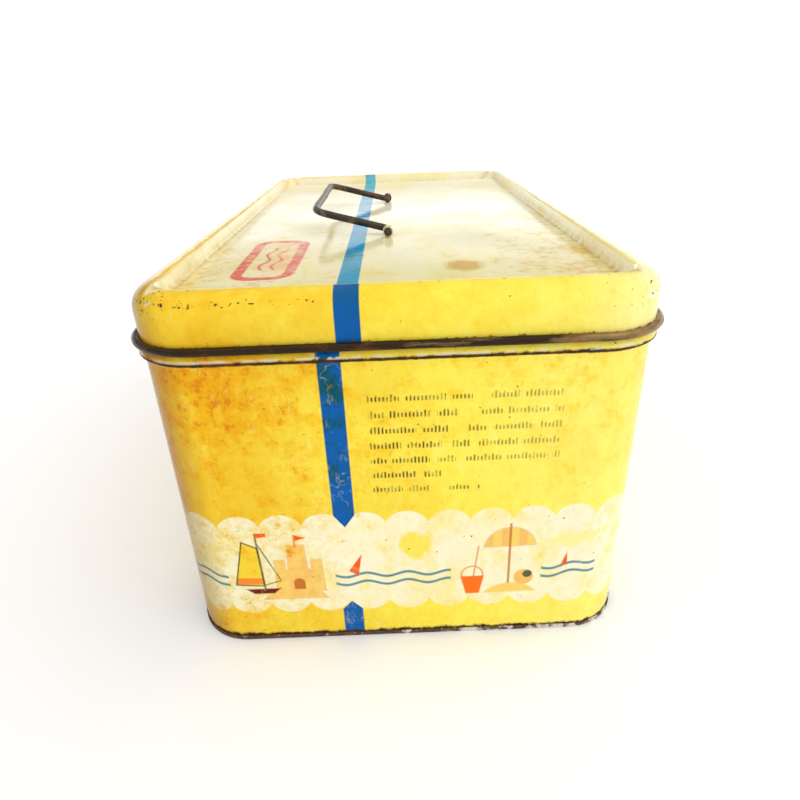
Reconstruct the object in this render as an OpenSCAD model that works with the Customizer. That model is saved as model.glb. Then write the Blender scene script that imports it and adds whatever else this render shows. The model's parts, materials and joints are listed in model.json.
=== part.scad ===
// Rectangular printed tinplate box with a slip lid and a folding wire handle.
// Origin at the middle of the base, +Z up, +Y along the length, millimetres.
// The outlines are drawn in a plane through a corner's axis: x is the distance out from
// that axis and y is the height, so that one outline serves the flat sides and the corners.

/* [Box] */
// Width across the lid's skirt
lid_w = 140; // [120:1:180]
// Length across the lid's skirt
lid_l = 249; // [200:1:320]
// Height from the base to the lid's rim
tin_h = 115; // [95:1:160]
// Outer radius of the upright corners
corner_r = 18; // [15:1:26]
// Thickness of the tinplate
sheet = 0.3; // [0.25:0.05:0.35]
// Gap between the lid's skirt and the body's neck
slip_gap = 0.3; // [0.3:0.05:0.5]

/* [Lid] */
// Depth of the recessed panel below the rim
recess = 4.5; // [4:0.25:6]
// Outer radius of the rim's shoulder
shoulder_r = 6; // [5:0.25:6.5]
// Flat width on top of the rim
rim_flat = 0.3; // [0.2:0.1:1.5]
// Slope of the rim's inner wall, in degrees from level
rim_slope = 75; // [60:1:78]
// Depth from the rim to the middle of the curled edge
skirt_drop = 13.9; // [11:0.1:15]
// Outer diameter of the curled edge
curl_d = 2.3; // [2:0.1:3]

/* [Body] */
// Depth from the rim to the crest of the stop rib
rib_drop = 17.4; // [16.6:0.1:20]
// How far the stop rib stands out of the wall
rib_out = 1.4; // [1:0.1:2]
// Depth from the rim to the top of the neck
neck_drop = 4.6; // [4.4:0.1:5.2]
// Width of the lock seam down the rear wall
lock_seam_w = 4; // [3:0.5:6]

/* [Bottom] */
// Height of the folded edge that holds the foot of the wall
seam_h = 1.6; // [1.2:0.1:2.6]
// Height of the bottom panel above the base
panel_rise = 3; // [2.4:0.1:4]
// Extra height of the panel inside its stiffening step
panel_step = 0.8; // [0.5:0.1:1.5]

/* [Handle] */
// Diameter of the handle's wire
wire_d = 2.6; // [2:0.1:3]
// Distance between the handle's two legs, centre to centre
handle_span = 73; // [60:1:90]
// Distance from the hinge line to the grip, centre to centre
handle_reach = 27.5; // [22:0.5:34]
// Radius of the bend between a leg and the grip
grip_bend_r = 5; // [4:0.5:9]
// Sideways place of the hinge line
hinge_x = -2; // [-10:0.5:10]
// Angle at which the handle stands above the panel
handle_raise = 15; // [5:1:60]

/* [Clips] */
// Width of the strip that each clip is bent from
clip_w = 3.8; // [3:0.2:5]
// Thickness of that strip
clip_t = 0.5; // [0.4:0.05:0.6]
// Length of the clip's two spread tails together
clip_foot = 11; // [9:0.5:14]
// Length of a backing plate across the lid
plate_w = 16; // [14:1:22]
// Width of a backing plate along the lid
plate_l = 9; // [8:1:14]
// Thickness of a backing plate
plate_t = 0.6; // [0.5:0.1:1]

/* [Hidden] */
$fn = 64;

gold = "#e8bf2c";
cream = "#f0dd8a";
rust = "#4a3524";
tin = "#b9ae98";

// Straight runs between the corners
run_x = lid_w - 2 * corner_r;
run_y = lid_l - 2 * corner_r;

// Mid-line of the body wall, and one layer of the folded edge round the base
wall_x = corner_r - 1.5 * sheet - slip_gap;
layer = sheet + 0.05;
hem_r = 0.8;
rib_z = tin_h - rib_drop;
neck_z = tin_h - neck_drop - hem_r - sheet / 2;

// Lid: curled edge, top of the rim and panel, all on the mid-line of the sheet
curl_r = (curl_d - sheet) / 2;
curl_z = tin_h - skirt_drop;
rim_z = tin_h - sheet / 2;
panel_top = tin_h - recess;
panel_z = panel_top - sheet / 2;
brow_r = 1;
foot_r = 1;
slope_drop = recess - (brow_r + foot_r) * (1 - cos(rim_slope));
slope_run = slope_drop / tan(rim_slope);
brow_x = corner_r - shoulder_r - rim_flat;
foot_x = brow_x - (brow_r + foot_r) * sin(rim_slope) - slope_run;

// Handle and clips
wire_r = wire_d / 2;
hinge_gap = 0.06;
pivot_bend_r = 2.5;
clip_r = wire_r + hinge_gap + clip_t;
hinge_z = panel_top + clip_r + 0.1;
clip_y = handle_span / 2 + pivot_bend_r + clip_w / 2;
pin_end = clip_y + clip_w / 2 + 1.5;
plate_z = panel_top - sheet - plate_t;
slot_w = 2 * clip_t + 0.2;
slot_l = clip_w + 0.2;

// ---- outlines ----

function unit(v) = v / norm(v);
function left_of(v) = [-v[1], v[0]];
function arc(centre, r, from, to, steps) =
    [for (i = [0:steps]) centre + r * [cos(from + (to - from) * i / steps),
                                       sin(from + (to - from) * i / steps)]];
function headings(path) = [for (i = [1:len(path) - 1]) unit(path[i] - path[i - 1])];
function mitre(a, b) = let (n = unit(left_of(a) + left_of(b))) n / (n * left_of(a));
function beside(path, d) =
    let (h = headings(path), last = len(path) - 1)
    [for (i = [0:last])
        path[i] + d * (i == 0 ? left_of(h[0])
                     : i == last ? left_of(h[last - 1]) : mitre(h[i - 1], h[i]))];
function reversed(path) = [for (i = [len(path) - 1:-1:0]) path[i]];

// A bent sheet of the tinplate's thickness along a mid-line
module bent_sheet(path) {
    polygon(concat(beside(path, sheet / 2), reversed(beside(path, -sheet / 2))));
}

// Carries an outline round the box: four straight sides and four quarter turns
module around() {
    for (i = [0:3]) {
        reach = (i % 2 == 0 ? run_x : run_y) / 2;
        run = i % 2 == 0 ? run_y : run_x;
        rotate([0, 0, 90 * i]) translate([reach, 0, 0]) {
            rotate([90, 0, 0]) linear_extrude(run, center = true) children();
            translate([0, run / 2, 0]) rotate_extrude(angle = 90) children();
        }
    }
}

// The flat middle of a panel, out to the corners' axes
module middle(z) {
    translate([0, 0, z]) cube([run_x, run_y, sheet], center = true);
}

// ---- body ----

// Wall: its foot in the bottom's folded edge, with a rib that stops the lid and a neck
// hemmed inwards
module body_wall() {
    foot = [[wall_x, sheet + 0.05]];
    rib = [[wall_x, rib_z - 1.2], [wall_x + rib_out, rib_z - 0.3],
           [wall_x + rib_out, rib_z + 0.2], [wall_x, rib_z + 2.2]];
    hem = arc([wall_x - hem_r, neck_z], hem_r, 0, 270, 9);
    seam_y = run_y / 2 + wall_x - sheet / 2;
    color(gold) {
        around() bent_sheet(concat(foot, rib, hem));
        // Lock seam, folded flat on the inside of the rear wall
        translate([-lock_seam_w / 2, seam_y - 2 * sheet, panel_rise + panel_step])
            cube([lock_seam_w, 2.3 * sheet, rib_z - 3 - panel_rise - panel_step]);
    }
}

// Bottom: folded up round the foot of the wall, with a raised panel and a stiffening step
module bottom_panel() {
    step_x = wall_x - layer - 10;
    inner_z = panel_rise + panel_step - sheet / 2;
    seam = [[wall_x + layer, seam_h], [wall_x + layer, sheet / 2],
            [wall_x - layer, sheet / 2], [wall_x - layer, panel_rise - sheet / 2]];
    panel = [[step_x, panel_rise - sheet / 2], [step_x - panel_step, inner_z], [0, inner_z]];
    color(rust) {
        around() bent_sheet(concat(seam, panel));
        middle(inner_z);
    }
}

// ---- lid ----

// Lid: curled lower edge, skirt, rounded rim, sloping inner wall and recessed panel
module lid_shell() {
    skirt_x = corner_r - sheet / 2;
    curl = arc([skirt_x + curl_r, curl_z], curl_r, 490, 180, 16);
    shoulder = arc([corner_r - shoulder_r, tin_h - shoulder_r], shoulder_r - sheet / 2,
                   0, 90, 8);
    brow = arc([brow_x, rim_z - brow_r], brow_r, 90, 90 + rim_slope, 4);
    foot = arc([foot_x, panel_z + foot_r], foot_r, rim_slope - 90, -90, 4);
    difference() {
        color(cream) {
            around() bent_sheet(concat(curl, shoulder, brow, foot, [[0, panel_z]]));
            middle(panel_z);
        }
        for (end = [-1, 1]) clip_slot(end, panel_z);
    }
}

// Slot for a clip's tails, through a sheet at height z
module clip_slot(end, z) {
    translate([hinge_x, end * clip_y, z]) cube([slot_w, slot_l, 2], center = true);
}

// Clip: a strip bent round the handle's pin, its tails put through the slot and spread
module handle_clip(end) {
    tail_h = hinge_z - wire_r - hinge_gap - plate_z;
    color(tin) translate([hinge_x, end * clip_y, 0]) {
        difference() {
            union() {
                translate([0, 0, hinge_z]) rotate([90, 0, 0])
                    cylinder(r = clip_r, h = clip_w, center = true);
                translate([-clip_t, -clip_w / 2, plate_z - clip_t])
                    cube([2 * clip_t, clip_w, tail_h + clip_t]);
            }
            translate([0, 0, hinge_z]) rotate([90, 0, 0])
                cylinder(r = wire_r + hinge_gap, h = clip_w + 2, center = true);
        }
        translate([-clip_foot / 2, -clip_w / 2, plate_z - clip_t])
            cube([clip_foot, clip_w, clip_t]);
    }
}

module front_handle_clip() handle_clip(-1);
module rear_handle_clip() handle_clip(1);

// Plate under the lid that spreads a clip's pull over the thin panel
module backing_plate(end) {
    color(tin) difference() {
        translate([hinge_x - plate_w / 2, end * clip_y - plate_l / 2, plate_z])
            cube([plate_w, plate_l, plate_t]);
        clip_slot(end, plate_z);
    }
}

module front_backing_plate() backing_plate(-1);
module rear_backing_plate() backing_plate(1);

// ---- handle ----

module wire(length) cylinder(r = wire_r, h = length);
module wire_bend(r) rotate_extrude(angle = 90) translate([r, 0]) circle(r = wire_r);

// Half of the handle, drawn flat and pointing to -X, from the middle of the grip to a pin
module half_bail() {
    leg_y = handle_span / 2;
    translate([-handle_reach, 0, 0]) rotate([-90, 0, 0]) wire(leg_y - grip_bend_r);
    translate([grip_bend_r - handle_reach, leg_y - grip_bend_r, 0]) rotate([0, 0, 90])
        wire_bend(grip_bend_r);
    translate([grip_bend_r - handle_reach, leg_y, 0]) rotate([0, 90, 0])
        wire(handle_reach - grip_bend_r - pivot_bend_r);
    translate([-pivot_bend_r, leg_y + pivot_bend_r, 0]) rotate([0, 0, -90])
        wire_bend(pivot_bend_r);
    translate([0, leg_y + pivot_bend_r, 0]) rotate([-90, 0, 0])
        wire(pin_end - leg_y - pivot_bend_r);
}

// Handle: one bent wire with its two ends turned outwards as hinge pins
module handle_bail() {
    color(rust) translate([hinge_x, 0, hinge_z]) rotate([0, handle_raise, 0]) {
        half_bail();
        mirror([0, 1, 0]) half_bail();
    }
}

body_wall();
bottom_panel();
lid_shell();
handle_bail();
front_handle_clip();
rear_handle_clip();
front_backing_plate();
rear_backing_plate();
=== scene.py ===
"""Looks of a printed tinplate box with a slip lid and a folding wire handle.

Lengths are in millimetres up to the moment a mesh is made, in the part's own frame: the
origin is the middle of the base, +Z is up, and the front end, with the printed band's
picture, faces -Y.
"""
import bpy
import json
import math
from mathutils import Matrix, Vector, noise


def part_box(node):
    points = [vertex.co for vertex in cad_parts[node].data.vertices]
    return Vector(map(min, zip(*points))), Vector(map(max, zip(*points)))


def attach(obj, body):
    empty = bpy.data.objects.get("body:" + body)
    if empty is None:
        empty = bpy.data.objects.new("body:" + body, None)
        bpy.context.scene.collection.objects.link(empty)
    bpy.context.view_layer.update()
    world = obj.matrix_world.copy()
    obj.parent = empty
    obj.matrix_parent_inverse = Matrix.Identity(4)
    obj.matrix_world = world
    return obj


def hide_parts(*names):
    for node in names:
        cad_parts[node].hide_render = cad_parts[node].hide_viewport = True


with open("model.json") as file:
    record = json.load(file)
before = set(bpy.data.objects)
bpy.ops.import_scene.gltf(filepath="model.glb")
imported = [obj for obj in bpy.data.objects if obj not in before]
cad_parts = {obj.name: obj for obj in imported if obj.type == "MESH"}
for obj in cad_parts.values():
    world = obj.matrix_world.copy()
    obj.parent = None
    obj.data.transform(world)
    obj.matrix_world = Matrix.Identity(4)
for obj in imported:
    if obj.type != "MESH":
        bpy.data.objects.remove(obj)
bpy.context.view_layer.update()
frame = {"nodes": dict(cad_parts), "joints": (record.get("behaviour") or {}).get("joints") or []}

MM = 0.001

# ---- sizes shared with the CAD part ----

SHEET = 0.3            # tinplate
SLIP_GAP = 0.3         # between the lid's skirt and the body's neck
CORNER_R = 18.0        # upright corners, on the outside of the lid's skirt
CURL_D = 2.3           # curled lower edge of the lid
SKIRT_DROP = 13.9      # from the rim to the middle of the curl
RIB_DROP = 17.4        # from the rim to the crest of the stop rib
RIB_OUT = 1.4
NECK_DROP = 4.6
HEM_R = 0.8
SEAM_H = 1.6           # folded edge round the base
SEAM_LAYER = SHEET + 0.05
PANEL_RISE = 3.0
PANEL_STEP = 0.8
RECESS = 4.5           # of the lid's panel below its rim
SHOULDER_R = 6.0
RIM_FLAT = 0.3
RIM_SLOPE = math.radians(75)
BROW_R = 1.0
FOOT_R = 1.0
WIRE_R = 1.3
HANDLE_SPAN = 73.0
HANDLE_REACH = 27.5
GRIP_BEND_R = 5.0
PIVOT_BEND_R = 2.5
CLIP_T = 0.5
CLIP_W = 3.8
CLIP_FOOT = 11.0
PIN_GAP = 0.06
PLATE_T = 0.6          # backing plates

curl_out = CURL_D - SHEET
lid_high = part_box("lid_shell")[1] / MM
TIN_H = lid_high.z
HALF_W = lid_high.x - curl_out
HALF_L = lid_high.y - curl_out
WALL = -(1.5 * SHEET + SLIP_GAP)             # mid-line of the body wall, from the skirt's face
RIB_Z = TIN_H - RIB_DROP
fold = next(j for j in frame["joints"] if j["name"] == "handle_fold")
HINGE = Vector(fold["pos_m"]) / MM
HANDLE_RAISE = math.radians(-fold["range_deg"][0])


# ---- the track round the box ----

def track_points(side_step=4.0, corner_steps=14):
    """Points once round the skirt's face from the rear seam, against the clock from above.

    Each point is (x, y, outward x, outward y, distance from the middle of the front end,
    measured on the body wall).
    """
    run_x, run_y = HALF_W - CORNER_R, HALF_L - CORNER_R
    wall_r = CORNER_R + WALL
    corners = [(-run_x, run_y, 90), (-run_x, -run_y, 180), (run_x, -run_y, 270),
               (run_x, run_y, 0)]
    runs = [run_x, 2 * run_y, 2 * run_x, 2 * run_y, run_x]
    at = Vector((0, HALF_L))
    heading = Vector((-1, 0))
    around = -(run_x + 2 * run_y + math.pi * wall_r + run_x)
    points = []
    for i, run in enumerate(runs):
        steps = max(2, round(run / side_step))
        out = Vector((heading.y, -heading.x))
        for s in range(steps):
            p = at + heading * (run * s / steps)
            points.append((p.x, p.y, out.x, out.y, around + run * s / steps))
        around += run
        if i == len(corners):
            break
        cx, cy, start = corners[i]
        for s in range(corner_steps):
            turn = math.radians(start + 90 * s / corner_steps)
            c, d = math.cos(turn), math.sin(turn)
            points.append((cx + CORNER_R * c, cy + CORNER_R * d, c, d,
                           around + wall_r * math.pi / 2 * s / corner_steps))
        around += wall_r * math.pi / 2
        turn = math.radians(start + 90)
        at = Vector((cx + CORNER_R * math.cos(turn), cy + CORNER_R * math.sin(turn)))
        heading = Vector((-math.sin(turn), math.cos(turn)))
    return points


TRACK = track_points()
AROUND = 2 * -TRACK[0][4]                    # length of the print round the body


# ---- outlines: (distance out from the skirt's face, height) ----

def arc(centre, r, start, end, steps):
    """Points along an arc, angles in degrees."""
    turns = [math.radians(start + (end - start) * i / steps) for i in range(steps + 1)]
    return [Vector((centre[0] + r * math.cos(t), centre[1] + r * math.sin(t))) for t in turns]


def line(start, end, steps):
    """Points along a straight stretch, without its last point."""
    start, end = Vector(start), Vector(end)
    return [start.lerp(end, i / steps) for i in range(steps)]


def rounded(path, r, steps=4):
    """The path with each inner corner turned into an arc of about radius r."""
    out = [path[0]]
    for before, corner, after in zip(path, path[1:], path[2:]):
        a, b = (before - corner), (after - corner)
        if a.length < 1e-6 or b.length < 1e-6 or abs(math.pi - a.angle(b)) < 0.2:
            out.append(corner)
            continue
        reach = min(r, 0.45 * a.length, 0.45 * b.length)
        p, q = corner + a.normalized() * reach, corner + b.normalized() * reach
        for i in range(steps + 1):
            t = i / steps
            out.append(p * (1 - t) ** 2 + corner * (2 * t * (1 - t)) + q * t ** 2)
    out.append(path[-1])
    return out


def beside(path, d):
    """The path moved d to its left."""
    headings = [(b - a).normalized() for a, b in zip(path, path[1:])]
    moved = []
    for i, p in enumerate(path):
        a, b = headings[max(i - 1, 0)], headings[min(i, len(headings) - 1)]
        normal = (Vector((-a.y, a.x)) + Vector((-b.y, b.x))).normalized()
        moved.append(p + normal * (d / max(normal.dot(Vector((-a.y, a.x))), 0.3)))
    return moved


# ---- pieces ----

SHARP = math.radians(38)
PRINTED, BARE, CURLED, PANEL = range(4)      # places in a sheet's list of materials


class Piece:
    """Faces gathered for one object, with the print's (along, up) at each of their corners."""

    def __init__(self):
        self.points, self.faces, self.slots, self.prints = [], [], [], []

    def add(self, points):
        """Takes in points and gives the number of the first."""
        self.points += points
        return len(self.points) - len(points)

    def face(self, corners, slot=0, prints=None):
        """Takes in one face, with its material's place in the list."""
        self.faces.append(corners)
        self.slots.append(slot)
        self.prints += prints or [(0.0, 0.0)] * len(corners)

    def build(self, name, body, materials, node):
        """Makes the object that stands for a CAD node and moves with its body."""
        mesh = bpy.data.meshes.new(name)
        mesh.from_pydata([p * MM for p in self.points], [], self.faces)
        for material in materials:
            mesh.materials.append(material)
        mesh.polygons.foreach_set("material_index", self.slots)
        layer = mesh.uv_layers.new(name="print")
        layer.data.foreach_set("uv", [c for pair in self.prints for c in pair])
        mesh.shade_smooth()
        mesh.set_sharp_from_angle(angle=SHARP)
        mesh.update()
        obj = bpy.data.objects.new(name, mesh)
        bpy.context.scene.collection.objects.link(obj)
        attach(obj, body)
        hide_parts(node)
        return obj


def ring(point, dent):
    """An outline's point carried round the box and moved by the dent at each place."""
    out, z = point
    points = []
    for x, y, ox, oy, _ in TRACK:
        p = Vector((x + ox * out, y + oy * out, z))
        points.append(p + dent(p, Vector((ox, oy, 0))))
    return points


def band(piece, a, b, z_a, z_b, slot):
    """Faces between two rings, the second one above or inside the first."""
    n = len(TRACK)
    for i in range(n):
        k = (i + 1) % n
        u, v = TRACK[i][4], TRACK[k][4] + (AROUND if k == 0 else 0)
        piece.face((a + i, a + k, b + k, b + i), slot, [(u, z_a), (v, z_a), (v, z_b), (u, z_b)])


def middle(piece, first, dent, slot, upward, steps=12):
    """Closes a sheet over the box's middle, from the ring that starts at first."""
    edge = piece.points[first:first + len(TRACK)]
    z = edge[0].z
    last = first
    for s in range(1, steps):
        points = []
        for p in edge:
            flat = Vector((p.x * (1 - s / steps), p.y * (1 - s / steps), z))
            points.append(flat + dent(flat, Vector((0, 0, 0))))
        inner = piece.add(points)
        if upward:
            band(piece, last, inner, z, z, slot)
        else:
            band(piece, inner, last, z, z, slot)
        last = inner
    centre = Vector((0, 0, z))
    hub = piece.add([centre + dent(centre, Vector((0, 0, 0)))])
    n = len(TRACK)
    for i in range(n):
        k = (i + 1) % n
        corners = (last + i, last + k, hub) if upward else (last + k, last + i, hub)
        piece.face(corners, slot)


def bent_sheet(piece, path, left_slot, right_slot, dent, over_middle):
    """Carries a bent sheet of tinplate round the box.

    path is its mid-line. The left face looks into the box, or down where the sheet ends in
    a panel. With over_middle the path's last point is the panel's edge.
    """
    left = beside(path, SHEET / 2)
    right = beside(path, -SHEET / 2)
    outline = [(p, left_slot) for p in reversed(left)] + [(p, right_slot) for p in right]
    rings = [piece.add(ring(p, dent)) for p, _ in outline]
    for j in range(len(outline) - 1):
        band(piece, rings[j], rings[j + 1], outline[j][0].y, outline[j + 1][0].y, outline[j][1])
    if over_middle:
        middle(piece, rings[0], dent, left_slot, upward=False)
        middle(piece, rings[-1], dent, right_slot, upward=True)
    else:
        band(piece, rings[-1], rings[0], outline[-1][0].y, outline[0][0].y, right_slot)


def no_dent(p, out):
    """For a sheet that is still as it was pressed."""
    return Vector((0, 0, 0))


def ease(x, low, high):
    """0 below low, 1 above high, smooth between."""
    t = min(max((x - low) / (high - low), 0.0), 1.0)
    return t * t * (3 - 2 * t)


def flatness(p):
    """1 on the flat sides, 0 at the corners."""
    run = max(HALF_W - CORNER_R - abs(p.x), HALF_L - CORNER_R - abs(p.y))
    return ease(run, 0, 25)


def wall_dent(p, out):
    """Slight waves in the body's wall, away from the seam and the rib."""
    window = ease(p.z, 5, 30) * (1 - ease(p.z, 72, 91)) * flatness(p)
    wave = noise.noise(p / 42.0) + 0.5 * noise.noise(p / 17.0 + Vector((9, 4, 2)))
    return out * (window * (0.45 * wave + 0.15))


def lid_dent(p, out):
    """Slight waves in the lid's panel and small knocks on its rim."""
    if p.z < TIN_H - 6 or abs(p.x) > HALF_W - 2 and p.z < TIN_H - 2:
        return Vector((0, 0, 0))
    inset = min(HALF_W - abs(p.x), HALF_L - abs(p.y))
    calm = ease(math.hypot(p.x - HINGE.x, abs(p.y) - HANDLE_SPAN / 2 - 5), 6, 16)
    panel = ease(inset, 7, 20) * calm * 0.35 * noise.noise(Vector((p.x, p.y, 40)) / 30.0)
    knock = ease(inset, 2.5, 5) * (1 - ease(inset, 7, 9))
    knock *= 0.5 * min(noise.noise(Vector((p.x, p.y, 7)) / 9.0) + 0.1, 0)
    return Vector((0, 0, panel + knock))


def body_sheet():
    """Wall with its stop rib and hemmed neck, and the lock seam in the rear."""
    neck_z = TIN_H - NECK_DROP - HEM_R - SHEET / 2
    rib = [Vector((WALL, RIB_Z - 1.3)), Vector((WALL + RIB_OUT, RIB_Z - 0.3)),
           Vector((WALL + RIB_OUT, RIB_Z + 0.2)), Vector((WALL, RIB_Z + 2.3)),
           Vector((WALL, RIB_Z + 5))]
    rise = line((WALL, SEAM_LAYER), (WALL, RIB_Z - 3), 24)
    hem = arc((WALL - HEM_R, neck_z), HEM_R, 0, 270, 14)
    path = rise + rounded([Vector((WALL, RIB_Z - 3))] + rib, 0.9) + hem
    piece = Piece()
    bent_sheet(piece, path, BARE, PRINTED, wall_dent, over_middle=False)
    lock_seam(piece)
    return piece.build("tin_wall", "tin_body", [printed_wall(), tinplate()], "body_wall")


def lock_seam(piece, width=4.0):
    """Folded seam down the inside of the rear wall."""
    y = HALF_L + WALL - SHEET / 2
    thick = 2 * SHEET
    section = [Vector((-width / 2, y + 0.1, 0)), Vector((-width / 2, y - thick + 0.2, 0)),
               Vector((-width / 2 + 0.25, y - thick, 0)), Vector((width / 2 - 0.25, y - thick, 0)),
               Vector((width / 2, y - thick + 0.2, 0)), Vector((width / 2, y + 0.1, 0))]
    low, high = PANEL_RISE + PANEL_STEP, RIB_Z - 3
    steps = 20
    rows = []
    for s in range(steps + 1):
        z = low + (high - low) * s / steps
        rows.append(piece.add([p + Vector((0, wall_dent(Vector((p.x, y, z)), Vector((0, 1, 0))).y,
                                          z)) for p in section]))
    n = len(section)
    for a, b in zip(rows, rows[1:]):
        for i in range(n):
            k = (i + 1) % n
            piece.face((a + i, b + i, b + k, a + k), BARE)
    piece.face(tuple(rows[0] + i for i in range(n)), BARE)
    piece.face(tuple(rows[-1] + i for i in reversed(range(n))), BARE)


def base_seam():
    """Bottom panel, folded up round the foot of the wall."""
    inner_z = PANEL_RISE + PANEL_STEP - SHEET / 2
    low = SHEET / 2
    inside, outside = WALL - SEAM_LAYER, WALL + SEAM_LAYER
    step = inside - 10
    seam = [Vector((outside, SEAM_H)), Vector((outside, low)), Vector((inside, low)),
            Vector((inside, PANEL_RISE - SHEET / 2))]
    panel = [Vector((step, PANEL_RISE - SHEET / 2)), Vector((step - PANEL_STEP, inner_z)),
             Vector((step - 5, inner_z))]
    piece = Piece()
    bent_sheet(piece, rounded(seam, 0.3) + rounded([seam[-1]] + panel, 0.9)[1:], 0, 0,
               no_dent, over_middle=True)
    return piece.build("tin_base", "tin_body", [tinplate()], "bottom_panel")


def lid_sheet():
    """Lid from its curled lower edge over the rim to the recessed panel."""
    half = SHEET / 2
    curl_r = (CURL_D - SHEET) / 2
    panel_z = TIN_H - RECESS - half
    brow_x = -SHOULDER_R - RIM_FLAT
    drop = RECESS - (BROW_R + FOOT_R) * (1 - math.cos(RIM_SLOPE))
    foot_x = brow_x - (BROW_R + FOOT_R) * math.sin(RIM_SLOPE) - drop / math.tan(RIM_SLOPE)
    slope = math.degrees(RIM_SLOPE)
    curl = arc((curl_r - half, TIN_H - SKIRT_DROP), curl_r, 490, 180, 24)
    skirt = line((-half, TIN_H - SKIRT_DROP + 1.2), (-half, TIN_H - SHOULDER_R - 0.3), 5)
    shoulder = arc((-SHOULDER_R, TIN_H - SHOULDER_R), SHOULDER_R - half, 0, 90, 9)
    brow = arc((brow_x, TIN_H - half - BROW_R), BROW_R, 90, 90 + slope, 6)
    foot = arc((foot_x, panel_z + FOOT_R), FOOT_R, slope - 90, -90, 5)
    rim = curl + skirt + shoulder + brow + foot + [Vector((foot_x - 3, panel_z))]
    piece = Piece()
    bent_sheet(piece, rim, BARE, PRINTED, lid_dent, over_middle=True)
    curl_metal(piece, len(curl), len(rim))
    panel_print(piece, len(rim) + len(curl + skirt + shoulder))
    materials = [printed_lid("printed_lid", GLOSS), tinplate(), curl_tin(),
                 printed_lid("printed_panel", PANEL_GLOSS)]
    return piece.build("lid", "lid", materials, "lid_shell")


def curl_metal(piece, curl_points, rim_points):
    """Gives the curled edge, both faces, the material of worn bare metal."""
    n = len(TRACK)
    first, last = rim_points - curl_points, rim_points + curl_points - 1
    for j in range(first, last):
        for i in range(n):
            piece.slots[j * n + i] = CURLED


def panel_print(piece, first):
    """Gives the print inside the rim, from the ring numbered first, its glossier material."""
    start = first * len(TRACK)
    piece.slots[start:] = [PANEL if s == PRINTED else s for s in piece.slots[start:]]


def tube(piece, path, r, sides=20):
    """Round wire along a path, with domed ends. Each point of path is (point, radius scale)."""
    rows = []
    side = Vector((0, 0, 1))
    for i, (p, scale) in enumerate(path):
        a, b = path[max(i - 1, 0)][0], path[min(i + 1, len(path) - 1)][0]
        along = (b - a).normalized()
        side = (side - along * side.dot(along)).normalized()
        other = along.cross(side)
        turns = [2 * math.pi * s / sides for s in range(sides)]
        rows.append(piece.add([p + (side * math.cos(t) + other * math.sin(t)) * (r * scale)
                               for t in turns]))
    for a, b in zip(rows, rows[1:]):
        for i in range(sides):
            k = (i + 1) % sides
            piece.face((a + i, a + k, b + k, b + i))
    piece.face(tuple(rows[0] + i for i in reversed(range(sides))))
    piece.face(tuple(rows[-1] + i for i in range(sides)))


def half_handle():
    """The handle lying flat, from the end of a pin to the middle of the grip: (x, y)."""
    leg = HANDLE_SPAN / 2
    pin_end = leg + PIVOT_BEND_R + CLIP_W + 1.5
    half = line((0, pin_end - 0.5), (0, leg + PIVOT_BEND_R), 6)
    half += arc((-PIVOT_BEND_R, leg + PIVOT_BEND_R), PIVOT_BEND_R, 0, -90, 8)
    half += line((-PIVOT_BEND_R - 0.5, leg), (GRIP_BEND_R - HANDLE_REACH + 0.5, leg), 10)
    half += arc((GRIP_BEND_R - HANDLE_REACH, leg - GRIP_BEND_R), GRIP_BEND_R, 90, 180, 10)
    return half + line((-HANDLE_REACH, leg - GRIP_BEND_R - 1), (-HANDLE_REACH, 1), 12)


def handle_wire():
    """One bent wire: a pin, a leg, the grip, the other leg and its pin."""
    half = half_handle()
    flat = half + [Vector((x, -y)) for x, y in reversed(half)]
    turn = Matrix.Rotation(HANDLE_RAISE, 3, "Y")
    path = []
    for x, y in flat:
        sway = ease(-x, 4, 14) * 0.35 * noise.noise(Vector((x, y, 3)) / 14.0)
        path.append((HINGE + turn @ Vector((x + sway, y, 0)), 1.0))
    dome = [(0.46, 0.45), (0.40, 0.72), (0.26, 0.90), (0.1, 0.98)]
    start = [(path[0][0] + Vector((0, reach, 0)), scale) for reach, scale in dome]
    stop = [(path[-1][0] - Vector((0, reach, 0)), scale) for reach, scale in dome]
    piece = Piece()
    tube(piece, start + path + stop[::-1], WIRE_R)
    return piece.build("handle_wire", "handle", [wire_metal()], "handle_bail")


def clip_section(plate_z):
    """Outline of a clip's strip, seen along the hinge line: two spread tails and an eye."""
    ring_r = WIRE_R + PIN_GAP + CLIP_T / 2
    gap = CLIP_T / 2 + 0.02
    low = plate_z - CLIP_T / 2
    pinch = math.degrees(math.asin(gap / ring_r))
    eye = arc((0, HINGE.z), ring_r, 270 - pinch, pinch - 90, 40)
    left = [Vector((-CLIP_FOOT / 2, low)), Vector((-gap, low)), Vector((-gap, low + 1.2))]
    tails = rounded(left + [eye[0]], 0.45)
    path = tails[:-1] + eye + [Vector((-p.x, p.y)) for p in reversed(tails[:-1])]
    return beside(path, CLIP_T / 2), beside(path, -CLIP_T / 2)


def handle_clip(end, name):
    """Strip bent round the handle's pin, with its two tails spread under the lid."""
    y = end * (HANDLE_SPAN / 2 + PIVOT_BEND_R + CLIP_W / 2)
    lid_under = TIN_H - RECESS - SHEET
    left, right = clip_section(lid_under - PLATE_T)
    worn = 0.12                                  # rounding of the strip's edges
    rows = []
    piece = Piece()
    middle_line = [(a + b) / 2 for a, b in zip(left, right)]
    for across, shrink in [(-1, worn), (worn - 1, 0), (1 - worn, 0), (1, worn)]:
        place = y + across * CLIP_W / 2
        row = []
        for edge in (left, right):
            for p, m in zip(edge, middle_line):
                q = p + (m - p).normalized() * shrink
                row.append(Vector((HINGE.x + q.x, place, q.y)))
        rows.append(piece.add(row))
    clip_faces(piece, rows, len(left))
    return piece.build(name, "lid", [clip_tin()], name)


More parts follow.
